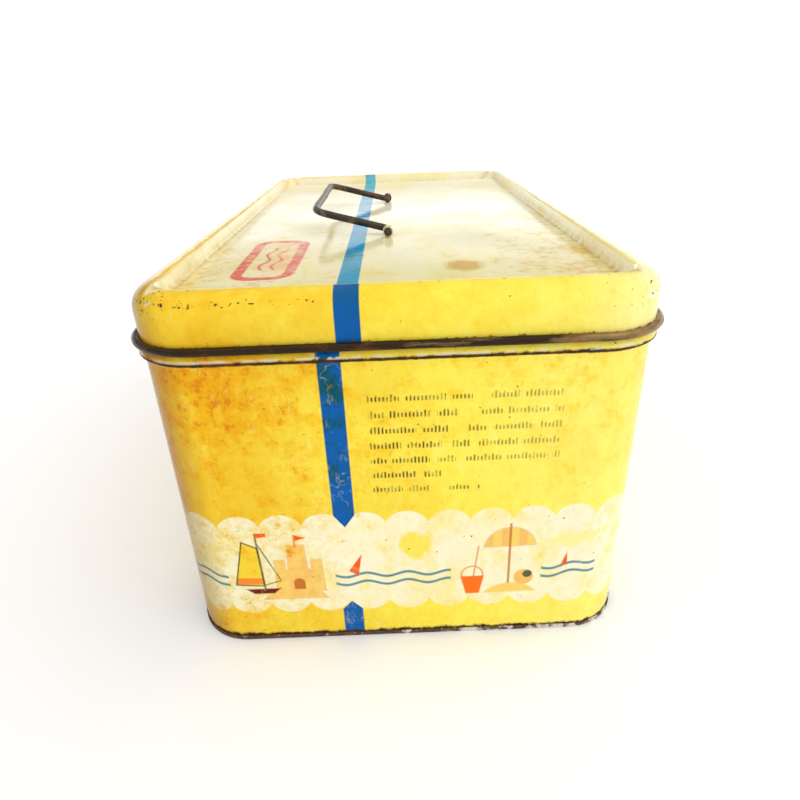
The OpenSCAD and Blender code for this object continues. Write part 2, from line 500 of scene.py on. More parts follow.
def clip_faces(piece, rows, count):
    """Closes a clip over its rows, each one the strip's left edge and then its right."""
    loop = list(range(count)) + list(range(2 * count - 1, count - 1, -1))
    for a, b in zip(rows, rows[1:]):
        for i, k in zip(loop, loop[1:] + loop[:1]):
            piece.face((a + i, b + i, b + k, a + k))
    for row, order in ((rows[0], 1), (rows[-1], -1)):
        for i in range(count - 1):
            quad = (row + i, row + i + 1, row + count + i + 1, row + count + i)
            piece.face(quad[::order])


# ---- materials ----

def srgb(r, g, b):
    """Linear colour of a 0-255 screen colour."""
    def linear(c):
        c /= 255
        return c / 12.92 if c <= 0.04045 else ((c + 0.055) / 1.055) ** 2.4
    return (linear(r), linear(g), linear(b), 1.0)


class Field:
    """A number worked out by a material's Math nodes."""

    def __init__(self, graph, socket):
        self.graph, self.socket = graph, socket

    def __add__(self, other):
        return self.graph.math("ADD", self, other)

    def __sub__(self, other):
        return self.graph.math("SUBTRACT", self, other)

    def __rsub__(self, other):
        return self.graph.math("SUBTRACT", other, self)

    def __mul__(self, other):
        return self.graph.math("MULTIPLY", self, other)

    def __abs__(self):
        return self.graph.math("ABSOLUTE", self)

    def __and__(self, other):
        return self.graph.math("MINIMUM", self, other)

    def __or__(self, other):
        return self.graph.math("MAXIMUM", self, other)

    def ramp(self, low, high):
        """0 at low, 1 at high, straight between and held beyond; low may be the larger."""
        slope = 1 / (high - low)
        return self.graph.math("MULTIPLY_ADD", self, slope, -low * slope, clamp=True)

    def cover(self, blur=0.3):
        """1 where the distance is negative, 0 where positive, with a soft edge."""
        return self.ramp(blur / 2, -blur / 2)


class Graph:
    """A material's node tree. Lengths in it are millimetres."""

    def __init__(self, name):
        self.material = bpy.data.materials.new(name)
        self.material.use_nodes = True
        self.nodes = self.material.node_tree.nodes
        self.links = self.material.node_tree.links
        self.nodes.clear()
        self.place = self.nodes.new("ShaderNodeTexCoord").outputs["Object"]

    def put(self, socket, value):
        """Links or sets a node's input."""
        if isinstance(value, Field):
            value = value.socket
        if isinstance(value, bpy.types.NodeSocket):
            self.links.new(value, socket)
        else:
            socket.default_value = value

    def math(self, operation, *values, clamp=False):
        node = self.nodes.new("ShaderNodeMath")
        node.operation, node.use_clamp = operation, clamp
        for socket, value in zip(node.inputs, values):
            self.put(socket, value)
        return Field(self, node.outputs[0])

    def vector(self, operation, *values):
        node = self.nodes.new("ShaderNodeVectorMath")
        node.operation = operation
        for socket, value in zip(node.inputs, values):
            self.put(socket, value)
        return node.outputs["Value" if operation in ("DOT_PRODUCT", "DISTANCE") else "Vector"]

    def split(self, vector):
        node = self.nodes.new("ShaderNodeSeparateXYZ")
        self.put(node.inputs[0], vector)
        return [Field(self, socket) for socket in node.outputs]

    def join(self, x, y, z):
        node = self.nodes.new("ShaderNodeCombineXYZ")
        for socket, value in zip(node.inputs, (x, y, z)):
            self.put(socket, value)
        return node.outputs[0]

    def object_place(self):
        """x, y and z in the part's frame."""
        node = self.vector("SCALE", self.place)
        node.node.inputs["Scale"].default_value = 1 / MM
        return self.split(node)

    def print_place(self):
        """Distances along the print from the middle of the front, and up from the base."""
        node = self.nodes.new("ShaderNodeUVMap")
        node.uv_map = "print"
        return self.split(node.outputs[0])[:2]

    def noise(self, size, detail=3.0, rough=0.55, seed=0, stretch=(1, 1, 1), at=None):
        """Noise about 0.5 with features of about that size; stretch shrinks them by axis."""
        if at is None:
            moved = self.vector("MULTIPLY_ADD", self.place, stretch, (seed, seed * 1.7, seed * 0.6))
            scale = 1 / (size * MM)
        else:
            moved, scale = at, 1 / size
        node = self.nodes.new("ShaderNodeTexNoise")
        self.put(node.inputs["Vector"], moved)
        node.inputs["Scale"].default_value = scale
        node.inputs["Detail"].default_value = detail
        node.inputs["Roughness"].default_value = rough
        return Field(self, node.outputs[0])

    def stain(self, under, tint, mask):
        """The colour seen through a transparent stain."""
        return self.mix(under, tint, mask, "MULTIPLY")

    def mix(self, under, over, mask, blend="MIX"):
        """The colour over the other where the mask is 1."""
        node = self.nodes.new("ShaderNodeMix")
        node.data_type, node.blend_type = "RGBA", blend
        self.put(node.inputs[0], mask)
        self.put(node.inputs[6], under)
        self.put(node.inputs[7], over)
        return node.outputs[2]

    def disc(self, at, x, z, r):
        """Distance outside a disc. at is the join of a place on the print with 1."""
        return Field(self, self.vector("DISTANCE", at, (x, z, 1))) - r

    def shape(self, at, *points):
        """Distance outside a convex outline whose points run against the clock."""
        distance = None
        for (x0, z0), (x1, z1) in zip(points, points[1:] + points[:1]):
            run = math.hypot(x1 - x0, z1 - z0)
            nx, nz = (z1 - z0) / run, (x0 - x1) / run
            side = Field(self, self.vector("DOT_PRODUCT", at, (nx, nz, -nx * x0 - nz * z0)))
            distance = side if distance is None else distance | side
        return distance

    def stroke(self, at, x0, z0, x1, z1, width):
        """Distance outside a straight stroke."""
        run = math.hypot(x1 - x0, z1 - z0)
        dx, dz = (x1 - x0) / run * width / 2, (z1 - z0) / run * width / 2
        return self.shape(at, (x0 + dz, z0 - dx), (x1 + dz, z1 - dx), (x1 - dz, z1 + dx),
                          (x0 - dz, z0 + dx))

    def finish(self, colour, roughness, metallic=0.0, height=None, depth=0.1, gloss=0.5):
        """Surface shader; height is a bump map whose full range is depth deep."""
        shader = self.nodes.new("ShaderNodeBsdfPrincipled")
        self.put(shader.inputs["Base Color"], colour)
        self.put(shader.inputs["Roughness"], roughness)
        self.put(shader.inputs["Metallic"], metallic)
        self.put(shader.inputs["Specular IOR Level"], gloss)
        if height is not None:
            bump = self.nodes.new("ShaderNodeBump")
            bump.inputs["Distance"].default_value = depth * MM
            bump.inputs["Strength"].default_value = 1.0
            self.put(bump.inputs["Height"], height)
            self.links.new(bump.outputs[0], shader.inputs["Normal"])
        out = self.nodes.new("ShaderNodeOutputMaterial")
        self.links.new(shader.outputs[0], out.inputs[0])
        return self.material


LEMON = srgb(250, 233, 84)
GLARE_YELLOW = srgb(253, 242, 130)
GOLD = srgb(234, 186, 24)
CREAM = srgb(247, 240, 206)
BLUE = srgb(0, 90, 166)
TEAL = srgb(34, 122, 146)
RED = srgb(238, 90, 24)
PEACH = srgb(240, 188, 100)
SAND = srgb(244, 206, 104)
OUTLINE = srgb(214, 140, 56)
INK = srgb(84, 70, 28)
RUST = srgb(88, 50, 26)
DARK_RUST = srgb(48, 35, 27)
METAL = srgb(214, 204, 170)
GLOSS = 0.12                         # specular level of the lacquer over the print
PANEL_GLOSS = 0.45                   # the same on the lid's panel

PRINT_SCALE = 1.02                   # the picture is drawn this much smaller than printed
GROUP = AROUND / 4 / PRINT_SCALE     # length of one repeat of the picture
LOBE = AROUND / 60 / PRINT_SCALE     # width of one scallop
BODY_STRIPE_X, BODY_STRIPE_HALF = -18.0, 3.05
LID_STRIPE_X, LID_STRIPE_HALF = -12.4, 3.2
MARK_X, MARK_Y = -39.3, -68.5        # middle of the red frame on the lid


def yellow_ground(g, x):
    """Yellow print, golden at the left and painted paler towards the right as glare; gives how far
    left too.
    """
    left = x.ramp(15, -50)
    tone = (g.noise(24, 4, seed=0.3) - 0.5) * 1.2 + left * 0.75
    # Painted glare: the yellow turns paler towards the right.
    colour = g.mix(LEMON, GLARE_YELLOW, x.ramp(10, 70) * 0.9)
    colour = g.mix(colour, GOLD, tone.ramp(0, 1))
    streaks = g.noise(6, 6, 0.72, seed=0.7, stretch=(1, 1, 0.7))
    colour = g.stain(colour, (0.98, 0.88, 0.5, 1), streaks.ramp(0.42, 0.62) * 0.5)
    mottle = g.noise(2.6, 6, 0.75, seed=1.5, stretch=(1, 1, 0.8))
    return g.stain(colour, (0.93, 0.86, 0.6, 1), mottle.ramp(0.46, 0.64) * (left * 0.3 + 0.5)), left


def scalloped_band(g, colour, x, u, z):
    """Cream band whose upper and lower edges are rows of round lobes."""
    lobe = g.math("WRAP", u - 1.0, LOBE / 2, -LOBE / 2)
    at = g.join(lobe, z, 1.0)
    low, high, lobe_r = 18.0, 41.9, 6.65
    between = abs(z - 29.9) - 11.9
    inside = g.disc(at, 0, high, lobe_r) & g.disc(at, 0, low, lobe_r) & between
    wash = g.noise(8, 6, 0.68, seed=0.9, stretch=(1, 1, 0.7)) + abs(x - 2).ramp(24, 8) * 0.05
    cream = g.stain(CREAM, (0.98, 0.90, 0.42, 1), wash.ramp(0.49, 0.66) * 0.8)
    dirt = g.noise(2.4, 7, 0.75, seed=2.8).ramp(0.44, 0.62)
    cream = g.stain(cream, (0.80, 0.70, 0.42, 1), x.ramp(-15, -62) * (dirt * 0.45 + 0.2))
    cream = g.stain(cream, (0.94, 0.88, 0.66, 1), dirt * 0.6)
    return g.mix(colour, cream, inside.cover(0.35))


def waves(g, colour, u, z):
    """Three runs of a double wavy line."""
    lift = (u - 41).ramp(0, 50) * 5.3 + (u + 50).ramp(0, -4) * 1.6
    line_z = g.math("SINE", u * (2 * math.pi / 12.3) + 1.2) * 0.75 + lift + 25.4
    pair = abs(abs(z - line_z + 1.55) - 1.55) - 0.48
    middle_run = abs(u + 3.7) - 17.3
    right_run = abs(u - 49) - 8.2
    left_run = abs(u + 70) - 17
    return g.mix(colour, TEAL, (pair | (middle_run & right_run & left_run)).cover(0.4) * 0.9)


def small_sails(g, colour, at):
    """Two far sails on the waves."""
    left = g.shape(at, (-16.8, 27.0), (-14.0, 25.2), (-12.7, 33.3))
    right = g.shape(at, (46.7, 26.4), (48.5, 26.2), (48.2, 31.2))
    return g.mix(colour, RED, (left & right).cover())


def sun(g, colour, u, z):
    """Plain disc with a ragged, faded edge, and two streaks of cloud."""
    at = g.join(u, z, 1.0)
    fray = g.noise(3.4, 5, 0.6, seed=2.2) - 0.5
    ragged = g.disc(at, 3.2, 36, 5.0) + fray * 9
    colour = g.mix(colour, srgb(247, 222, 66), ragged.cover(1.6) * 0.9)
    cloud = abs(z - 34.5 - u.ramp(40, 60) * 3) * 1.6 + abs(u - 50) * 0.5 - 5 + fray * 16
    return g.mix(colour, srgb(250, 234, 130), cloud.cover(3) * 0.7)


def sailing_boat(g, colour, at):
    """Toy boat: hull, mast, stay, one sail with a band at its foot, and a pennant."""
    rig = srgb(96, 84, 40)
    sail = g.shape(at, (-50.8, 23.3), (-42.9, 22.5), (-43.4, 36.7), (-47.2, 38.9))
    colour = g.mix(colour, rig, (sail - 0.45).cover())
    foot_band = g.shape(at, (-60, 23.6), (-40, 22.8), (-40, 25.2), (-60, 26.2))
    cloth = g.mix(srgb(240, 205, 52), srgb(240, 136, 40), foot_band.cover())
    colour = g.mix(colour, cloth, sail.cover())
    mast = g.stroke(at, -42.6, 21, -43.2, 42.2, 0.6)
    stay = g.stroke(at, -43.0, 38.6, -37.6, 24.6, 0.45)
    boom = g.stroke(at, -42.6, 22.6, -37.4, 24.2, 0.4)
    colour = g.mix(colour, rig, (mast & stay & boom).cover() * 0.85)
    hull = g.shape(at, (-46, 19.2), (-40, 19.2), (-37.8, 21.2), (-48.5, 21.2))
    colour = g.mix(colour, srgb(110, 26, 8), hull.cover(0.5))
    pennant = g.shape(at, (-43.2, 40.7), (-40.0, 40.9), (-40.0, 42.3), (-43.2, 42.3))
    return g.mix(colour, RED, pennant.cover())


def sand_castle(g, colour, at):
    """Heap of sand with three plain towers and a flag."""
    heap = g.shape(at, (-43, 17.0), (-24, 17.0), (-26.5, 20.6), (-39.5, 20.6))
    wall = g.shape(at, (-37.0, 20), (-26.6, 20), (-27.4, 28.4), (-36.2, 28.4))
    keep = g.shape(at, (-34.8, 28), (-29.0, 28), (-29.6, 37.6), (-34.2, 37.6))
    left = g.shape(at, (-39.0, 20), (-35.4, 20), (-35.9, 32), (-38.6, 32))
    right = g.shape(at, (-28.2, 20), (-24.4, 20), (-24.9, 32), (-27.7, 32))
    sand = heap & wall & keep & left & right
    tone = g.mix(SAND, PEACH, g.noise(4, 4, 0.6, seed=4.4).ramp(0.40, 0.58))
    colour = g.mix(colour, OUTLINE, (sand - 0.3).cover(0.4) * 0.5)
    colour = g.mix(colour, tone, sand.cover(0.5))
    arch = g.shape(at, (-33.7, 20.6), (-30.3, 20.6), (-30.3, 23.2), (-33.7, 23.2))
    door = g.disc(at, -32, 23.2, 1.7) & arch
    colour = g.mix(colour, srgb(196, 112, 40), door.cover())
    flag = g.shape(at, (-31.9, 39.2), (-28.6, 40.2), (-31.9, 41.4))
    pole = g.stroke(at, -32, 37, -32, 41.4, 0.4)
    return g.mix(colour, RED, (flag & pole).cover())


def bucket(g, colour, at):
    """Toy bucket with a spade standing in it."""
    spade = g.stroke(at, 20.4, 23, 21.8, 35, 0.5)
    pail = g.shape(at, (18.2, 16.3), (22.3, 16.3), (23.6, 23.4), (16.5, 23.4))
    handle = abs(g.disc(at, 20, 24, 3.2)) - 0.25
    colour = g.mix(colour, srgb(226, 130, 48), (spade & handle).cover() * 0.8)
    return g.mix(colour, srgb(246, 112, 22), pail.cover(0.4))


def parasol(g, colour, u, at):
    """Beach parasol over a ball on a heap of sand."""
    dome = g.disc(at, 31, 33.5, 7.6) | g.shape(at, (20, 34.5), (42, 34.5), (42, 50), (20, 50))
    gores = g.math("SINE", (u - 31) * 1.25)
    cloth = g.mix(PEACH, SAND, gores.ramp(-0.2, 0.2))
    colour = g.mix(colour, OUTLINE, (dome - 0.3).cover(0.4) * 0.5)
    colour = g.mix(colour, cloth, dome.cover(0.4))
    pole = g.stroke(at, 31, 18, 31, 42.6, 0.7)
    colour = g.mix(colour, srgb(190, 120, 44), pole.cover() * 0.9)
    heap = g.disc(at, 31.5, 9.5, 10.6) | g.shape(at, (20, 16.3), (43, 16.3), (43, 30), (20, 30))
    colour = g.mix(colour, SAND, heap.cover(0.5))
    ball = g.disc(at, 35.6, 22.2, 3.0)
    colour = g.mix(colour, PEACH, ball.cover())
    patch = g.disc(at, 36.7, 23.3, 1.4)
    return g.mix(colour, srgb(92, 92, 66), patch.cover())


def printed_rows(g, colour, u, z):
    """Seven rows of small upright ticks in groups, fading to the right."""
    pitch, top_row = 4.67, 84
    row = g.math("ROUND", (top_row - z) * (1 / pitch))
    sway = g.math("SINE", u * 0.41 + row * 1.9) * 1.8
    gap = g.math("WRAP", u + row * 3.7 + sway, 10.4, 0.0)
    groups = gap.ramp(2.3, 2.7) | u.ramp(-4.4, -4.6)
    tick = abs(g.math("WRAP", u + row * 0.3, 0.5, -0.5)) - 0.24
    tall = g.noise(1.3, 0, at=g.join(u, row * 9.1, 5.5)).ramp(0.52, 0.6) * 0.4
    off = abs(z - top_row + row * pitch - tall * 0.6) - tall - 0.62
    end = 43 - row.ramp(4.4, 4.6) * 29 + row.ramp(5.4, 5.6) * 8
    inside = (u + 8.3).ramp(0, 0.3) * (end - u).ramp(0, 0.3)
    inside *= (z - 54).ramp(0, 0.3) * (86.5 - z).ramp(0, 0.3)
    worn = g.noise(3, 4, 0.6, seed=8.1).ramp(0.36, 0.5)
    fade = u.ramp(95, 5) * (worn * 0.5 + 0.5)
    return g.mix(colour, INK, off.cover(0.4) * groups * tick.cover(0.3) * inside * fade)


def ribbon(g, colour, x, y, z):
    """Blue stripe down the two ends, pointed where it meets the band."""
    off = abs(x - BODY_STRIPE_X - (97 - z) * 0.006) * (1 / PRINT_SCALE)
    z = z * (1 / PRINT_SCALE)
    above = z - off * 1.43 - 43.2
    below = 14.8 - z - off * 1.1
    ends = (BODY_STRIPE_HALF - off).ramp(-0.15, 0.15) * (above | below).ramp(-0.15, 0.15)
    ends *= abs(y).ramp(112, 114)
    return g.mix(colour, BLUE, ends)


def picture(g, colour, u, y, z):
    """Seaside picture on the band, once on each face, and rows of print on all but the rear."""
    along = g.math("WRAP", u, GROUP / 2, -GROUP / 2)
    colour = waves(g, colour, along, z)
    colour = sun(g, colour, along, z)
    at = g.join(along, z, 1.0)
    colour = small_sails(g, colour, at)
    colour = sand_castle(g, colour, at)
    colour = sailing_boat(g, colour, at)
    colour = parasol(g, colour, along, at)
    colour = bucket(g, colour, at)
    return g.mix(colour, printed_rows(g, colour, along, z), y.ramp(108, 100))


def age_stains_and_corner_shade(g, colour, x, y, z, left):
    """Brown stain soaked into the print, strongest at the upper left; painted shade darkens the
    left-hand corners, and every corner is a little darker low down.
    """
    blotch = g.noise(5.5, 8, 0.72, seed=1.3)
    cloud = g.noise(26, 3, seed=5.2)
    amount = left * 0.11 + z.ramp(34, 80) * 0.15 + cloud * 0.4 + blotch - 0.855
    colour = g.stain(colour, (0.97, 0.76, 0.2, 1), amount.ramp(0.0, 0.14) * (left * 0.4 + 0.6))
    spots = (g.noise(2.2, 5, 0.7, seed=4.7) + amount * 0.7).ramp(0.62, 0.74)
    colour = g.stain(colour, (0.84, 0.56, 0.16, 1), spots * (left * 0.7 + 0.25))
    pale = g.noise(4, 7, 0.7, seed=6.3, stretch=(1, 1, 0.45)).ramp(0.58, 0.7) * 0.35
    crack = abs(g.noise(9, 3, 0.6, seed=6.9) - 0.5).ramp(0.014, 0.002)
    crack *= g.noise(7, 4, seed=7.4).ramp(0.50, 0.62) * (left * 0.26 + 0.06)
    colour = g.mix(colour, srgb(250, 240, 150), pale | crack)
    # Painted shade: the left-hand corners darkened, and all corners a little darker low down.
    edge = abs(x).ramp(HALF_W - 15, HALF_W - 2) * abs(y).ramp(85, 104)
    corner = edge * x.ramp(0, -1) + edge * z.ramp(14, 4) * 0.3
    return g.stain(colour, (0.42, 0.32, 0.16, 1), corner)


def wall_wear(g, z, left, grain):
    """Where the wall's print is gone: specks, the rib, under the lid's curl and at the foot."""
    specks = g.noise(1.5, 2, seed=3.1).ramp(0.745, 0.775)
    rib_line = (abs(z - RIB_Z + 0.3) - grain * 1.5 + 0.1).cover(0.5)
    under_curl = ((TIN_H - SKIRT_DROP - 1.0 - z) * 0.6 - grain * 6 + 3.45).cover(0.5)
    under_curl *= z.ramp(RIB_Z + 0.5, RIB_Z + 1) * z.ramp(TIN_H - 12, TIN_H - 13)
    foot = (z - SEAM_H - 0.5 - (grain - 0.45) * 3 - left * 0.3).cover(0.8)
    return specks | rib_line | under_curl | foot


def printed_wall():
    """Outside of the body: yellow print with a picture band, stained, chipped and rusted."""
    g = Graph("printed_wall")
    u, up = ((along + shift) * (1 / PRINT_SCALE)
             for along, shift in zip(g.print_place(), (0.5, 0.2)))
    x, y, z = g.object_place()
    colour, left = yellow_ground(g, x)
    colour = scalloped_band(g, colour, x, u, up)
    colour = picture(g, colour, u, y, up)
    colour = ribbon(g, colour, x, y, z)
    colour = age_stains_and_corner_shade(g, colour, x, y, z, left)

    grain = g.noise(2.4, 5, 0.65, seed=7.7)
    worn = wall_wear(g, z, left, grain)
    glint_line = (abs(z - RIB_Z - 0.55) - grain + 0.25).cover(0.4)
    glint = g.noise(4, 3, seed=8.8).ramp(0.44, 0.52) * glint_line
    colour = g.mix(colour, g.mix(RUST, DARK_RUST, grain.ramp(0.4, 0.6)), worn)
    colour = g.mix(colour, METAL, glint)
    rough = g.noise(12, 3, seed=9.4) * 0.12 + 0.13 + worn * 0.4
    height = g.noise(5, 3, seed=1.9) * 0.6 - worn * 0.4
    return g.finish(colour, rough, glint * 0.7, height, 0.08, GLOSS)


def lid_stains(g, colour, x, y, left, on_top):
    """Stains on the panel and on the rim, and a broken darker line along the crease at the panel's
    edge; gives the stains' mask too.
    """
    blotch = g.noise(11, 7, 0.7, seed=1.1)
    fine = g.noise(3, 5, 0.65, seed=4.9)
    heavy = x.ramp(5, 55) * y.ramp(50, -70) * 0.18 + left * y.ramp(40, -80) * 0.14
    stain = (blotch + fine * 0.4 + heavy - 0.79).ramp(0, 0.18)
    flat = (HALF_W - abs(x)).ramp(6.5, 10)
    amount = stain * (on_top * flat * 0.5 + 0.12)
    colour = g.stain(colour, (0.86, 0.70, 0.34, 1), amount)
    deep = (blotch * 0.6 + fine + heavy - 0.98).ramp(0, 0.12)
    colour = g.stain(colour, (0.82, 0.62, 0.2, 1), deep * on_top * flat * 0.6)
    spot = g.join((x - 20.5) * 0.17, (y + 87.5) * 0.15, 1.0)
    pool = g.disc(spot, 0, 0, 0.9) + (fine - 0.5) * 1.1
    colour = g.stain(colour, (0.76, 0.52, 0.08, 1), pool.cover(0.5) * on_top)
    inset = (HALF_W - abs(x)) & (HALF_L - abs(y))
    # A broken darker line along the crease at the foot of the rim.
    crease = abs(inset - 8.9).ramp(1.2, 0.2) * fine.ramp(0.35, 0.6)
    colour = g.stain(colour, (0.8, 0.66, 0.4, 1), crease * 0.8)
    swirl = g.noise(16, 8, 0.7, seed=3.8, stretch=(1, 0.6, 1))
    return g.stain(colour, (0.97, 0.88, 0.5, 1), swirl.ramp(0.45, 0.62) * 0.7), amount


def lid_mark(g, colour, x, y, on_top):
    """Plain red frame with two wavy lines in it, printed on the panel and half worn off."""
    half_x, half_y, corner_r = 2.6, 19.6, 5.2
    at = g.join((abs(x - MARK_X) - half_x) | 0.0, (abs(y - MARK_Y) - half_y) | 0.0, 1.0)
    ring_line = abs(g.disc(at, 0, 0, corner_r)) - 1.7
    swell = abs(abs(x - MARK_X - g.math("SINE", y * 0.42)) - 1.9) - 0.5
    crest = swell | (abs(y - MARK_Y) - 15)
    print_wear = (g.noise(6, 6, 0.7, seed=2.7) - y.ramp(-60, -95) * 0.12).ramp(0.62, 0.42)
    mark = (ring_line & crest).cover(0.6) * on_top * (print_wear * 0.7 + 0.3)
    wash = g.disc(at, 0, 0, 4).cover() * x.ramp(-42, -36) * y.ramp(-92, -78) * print_wear
    colour = g.mix(colour, srgb(240, 150, 40), wash * on_top * 0.7)
    return g.mix(colour, srgb(222, 68, 14), mark)


def lid_wear(g, z, left, inset, on_top, corner):
    """Where the lid's print is gone: chips along its edges and corners, and a few spots."""
    crease = abs(z - TIN_H + 2.6).ramp(1.8, 0) * (1 - on_top)
    rim_edge = abs(inset - SHOULDER_R).ramp(1.6, 0)
    weak = crease * (left * 0.9 + 0.25) | corner * (z - TIN_H).ramp(-9, -4) | rim_edge * 0.8
    chips = (g.noise(1.1, 3, 0.6, seed=5.8) + weak * 0.15).ramp(0.73, 0.76)
    spots = g.noise(1.3, 1, seed=6.6).ramp(0.80, 0.82)
    return chips | spots


def lid_age_and_corner_shade(g, colour, worn, corner, x, y, z, on_top):
    """Pale scuffs at the corners, rust in the chips and above the curl, and painted shade on the
    skirt's left-hand corners.
    """
    grain = g.noise(2.2, 4, 0.6, seed=3.6)
    over_curl = (z - (TIN_H - SKIRT_DROP + 1.2) - grain * 4 + 2.45).cover(0.5) * (1 - on_top)
    rusty = g.mix(RUST, srgb(66, 50, 54), grain.ramp(0.4, 0.6))
    scuff = (g.noise(3, 5, 0.65, seed=7.1) + corner * 0.14).ramp(0.66, 0.74) * corner
    scuff *= (z - TIN_H).ramp(-10, -5)
    colour = g.mix(colour, srgb(240, 236, 220), scuff * 0.8)
    colour = g.mix(colour, rusty, worn)
    colour = g.mix(colour, srgb(120, 66, 26), over_curl * 0.85)
    # Painted shade: the skirt darkened at its left-hand corners.
    edge = abs(x).ramp(HALF_W - 12, HALF_W - 1) * abs(y).ramp(95, 112) * x.ramp(0, -1)
    return g.stain(colour, (0.40, 0.36, 0.22, 1), edge * (1 - on_top))


def printed_lid(name, gloss):
    """Outside of the lid: yellow print, a little paler on the panel and whitened at the skirt's
    right end as painted glare, stained and worn.
    """
    g = Graph(name)
    x, y, z = g.object_place()
    colour, left = yellow_ground(g, x)
    inset = (HALF_W - abs(x)) & (HALF_L - abs(y))
    on_top = inset.ramp(SHOULDER_R + 0.2, SHOULDER_R + 1.6)
    # Painted glare: the panel pale cream, paler still towards the back.
    panel_glare_tone = g.mix(srgb(238, 230, 182), srgb(243, 239, 218), y.ramp(-100, 20))
    colour = g.mix(colour, panel_glare_tone, on_top * 0.9)
    off = abs(x - LID_STRIPE_X + on_top * 0.4 - y * 0.006 * on_top) - LID_STRIPE_HALF
    off += on_top * 0.2
    # The stripe on the panel: faded print, lightened further towards the back as painted glare.
    faded = g.mix(srgb(0, 150, 198), srgb(96, 184, 208), y.ramp(20, 110))
    colour = g.mix(colour, g.mix(BLUE, faded, on_top), off.cover())
    # Painted glare: the skirt whitened towards its right end.
    colour = g.mix(colour, srgb(253, 247, 190), x.ramp(46, 70) * (1 - on_top) * 0.8)
    shoulder = (z - TIN_H).ramp(-4, -2) * (1 - on_top) * g.noise(7, 5, 0.65, seed=4.3).ramp(0.4, 0.6)
    colour = g.stain(colour, (0.98, 0.84, 0.45, 1), shoulder * (left * 0.6 + 0.2))
    colour = lid_mark(g, colour, x, y, on_top)
    colour, stain = lid_stains(g, colour, x, y, left, on_top)

    corner = abs(x).ramp(48, 66) * abs(y).ramp(98, 120)
    worn = lid_wear(g, z, left, inset, on_top, corner)
    colour = lid_age_and_corner_shade(g, colour, worn, corner, x, y, z, on_top)
    rough = g.noise(14, 3, seed=8.3) * 0.1 + 0.06 + stain * 0.12 + worn * 0.4
    rough += y.ramp(10, 90) * on_top * 0.25
    height = g.noise(7, 3, seed=2.1) * 0.6 - worn * 0.4
    return g.finish(colour, rough, 0.0, height, 0.07, gloss)


def curl_tin():
    """Curled edge of the lid, worn to dark metal, with painted highlights: lighter towards the right
    and in streaks along its length.
    """
    g = Graph("curl_tin")
    x, y, _ = g.object_place()
    grain = g.noise(5, 5, 0.6, seed=1.4, stretch=(0.5, 0.5, 1.6))
    streak = g.noise(2.2, 4, seed=2.5, stretch=(0.14, 0.14, 1.6))
    # Painted highlight: lighter towards the right and along the streaks, over the metal's random
    # grain.
    grain_and_sheen = (x.ramp(-30, 60) * 0.34 + grain * 0.6 + streak * 0.8 - 0.88).ramp(0, 0.3)
    colour = g.mix(srgb(44, 28, 6), srgb(176, 142, 90), grain_and_sheen)
    rusty = (grain + y.ramp(-100, -60) * 0.1).ramp(0.52, 0.66)
    colour = g.mix(colour, srgb(90, 48, 14), rusty * 0.7)
    rough = grain * 0.2 + 0.12 + rusty * 0.2
    return g.finish(colour, rough, grain_and_sheen * 0.4 + 0.35, streak, 0.03, 0.25)


def tinplate():
    """Unprinted tinplate: dull inside, rusted on the floor and on the edge round the base."""
    g = Graph("tinplate")
    x, _, z = g.object_place()
    spangle = g.noise(9, 3, seed=1.6)
    colour = g.mix(srgb(222, 212, 184), srgb(198, 188, 160), spangle.ramp(0.4, 0.6))
    grain = g.noise(3, 5, 0.65, seed=2.9)
    low = z.ramp(4.6, 3.4)
    patch = g.noise(14, 3, seed=4.1)
    rust_amount = grain * 0.6 + patch * 0.5 + low * (0.24 - x.ramp(-20, 50) * 0.13) - 0.68
    rust_mask = rust_amount.ramp(-0.03, 0.03)
    rusty = g.mix(srgb(104, 74, 42), srgb(70, 50, 34), g.noise(2, 4, seed=3.3).ramp(0.4, 0.6))
    colour = g.mix(colour, srgb(222, 214, 204), low * 0.7)
    colour = g.mix(colour, rusty, rust_mask)
    rough = spangle * 0.2 + 0.26 + rust_mask * 0.35
    return g.finish(colour, rough, 0.5 - rust_mask * 0.3, grain, 0.05)


def wire_metal():
    """Handle wire: dark oxide, browner towards the rear leg, with a painted grey highlight on the
    grip.
    """
    g = Graph("wire_metal")
    x, y, _ = g.object_place()
    grain = g.noise(5, 5, 0.65, seed=1.2)
    colour = g.mix(srgb(44, 37, 28), srgb(62, 52, 38), grain.ramp(0.4, 0.62))
    brown = (y.ramp(5, 45) * 0.2 + grain - 0.58).ramp(0, 0.14)
    colour = g.mix(colour, srgb(92, 58, 32), brown)
    # Painted highlight: grey on the grip.
    grip_highlight = (abs(x - HINGE.x + 25).ramp(4, 1) * 0.2 + g.noise(3, 3, seed=2.4) - 0.6).ramp(0, 0.1)
    colour = g.mix(colour, srgb(120, 112, 98), grip_highlight * 0.5)
    return g.finish(colour, grain * 0.2 + 0.26, 0.4, grain, 0.06)


def clip_tin():
    """Clips: dull tinplate with dark spots, the rear one rusted."""
    g = Graph("clip_tin")
    _, y, _ = g.object_place()
    grain = g.noise(1.4, 4, 0.6, seed=1.8)
    colour = g.mix(srgb(236, 224, 184), srgb(196, 180, 136), grain.ramp(0.45, 0.6))
    rust_mask = (grain + y.ramp(-20, 20) * 0.22 - 0.62).ramp(-0.02, 0.04)
    colour = g.mix(colour, srgb(84, 56, 36), rust_mask)
    return g.finish(colour, grain * 0.2 + 0.3 + rust_mask * 0.2, 0.35 - rust_mask * 0.2, grain, 0.05)


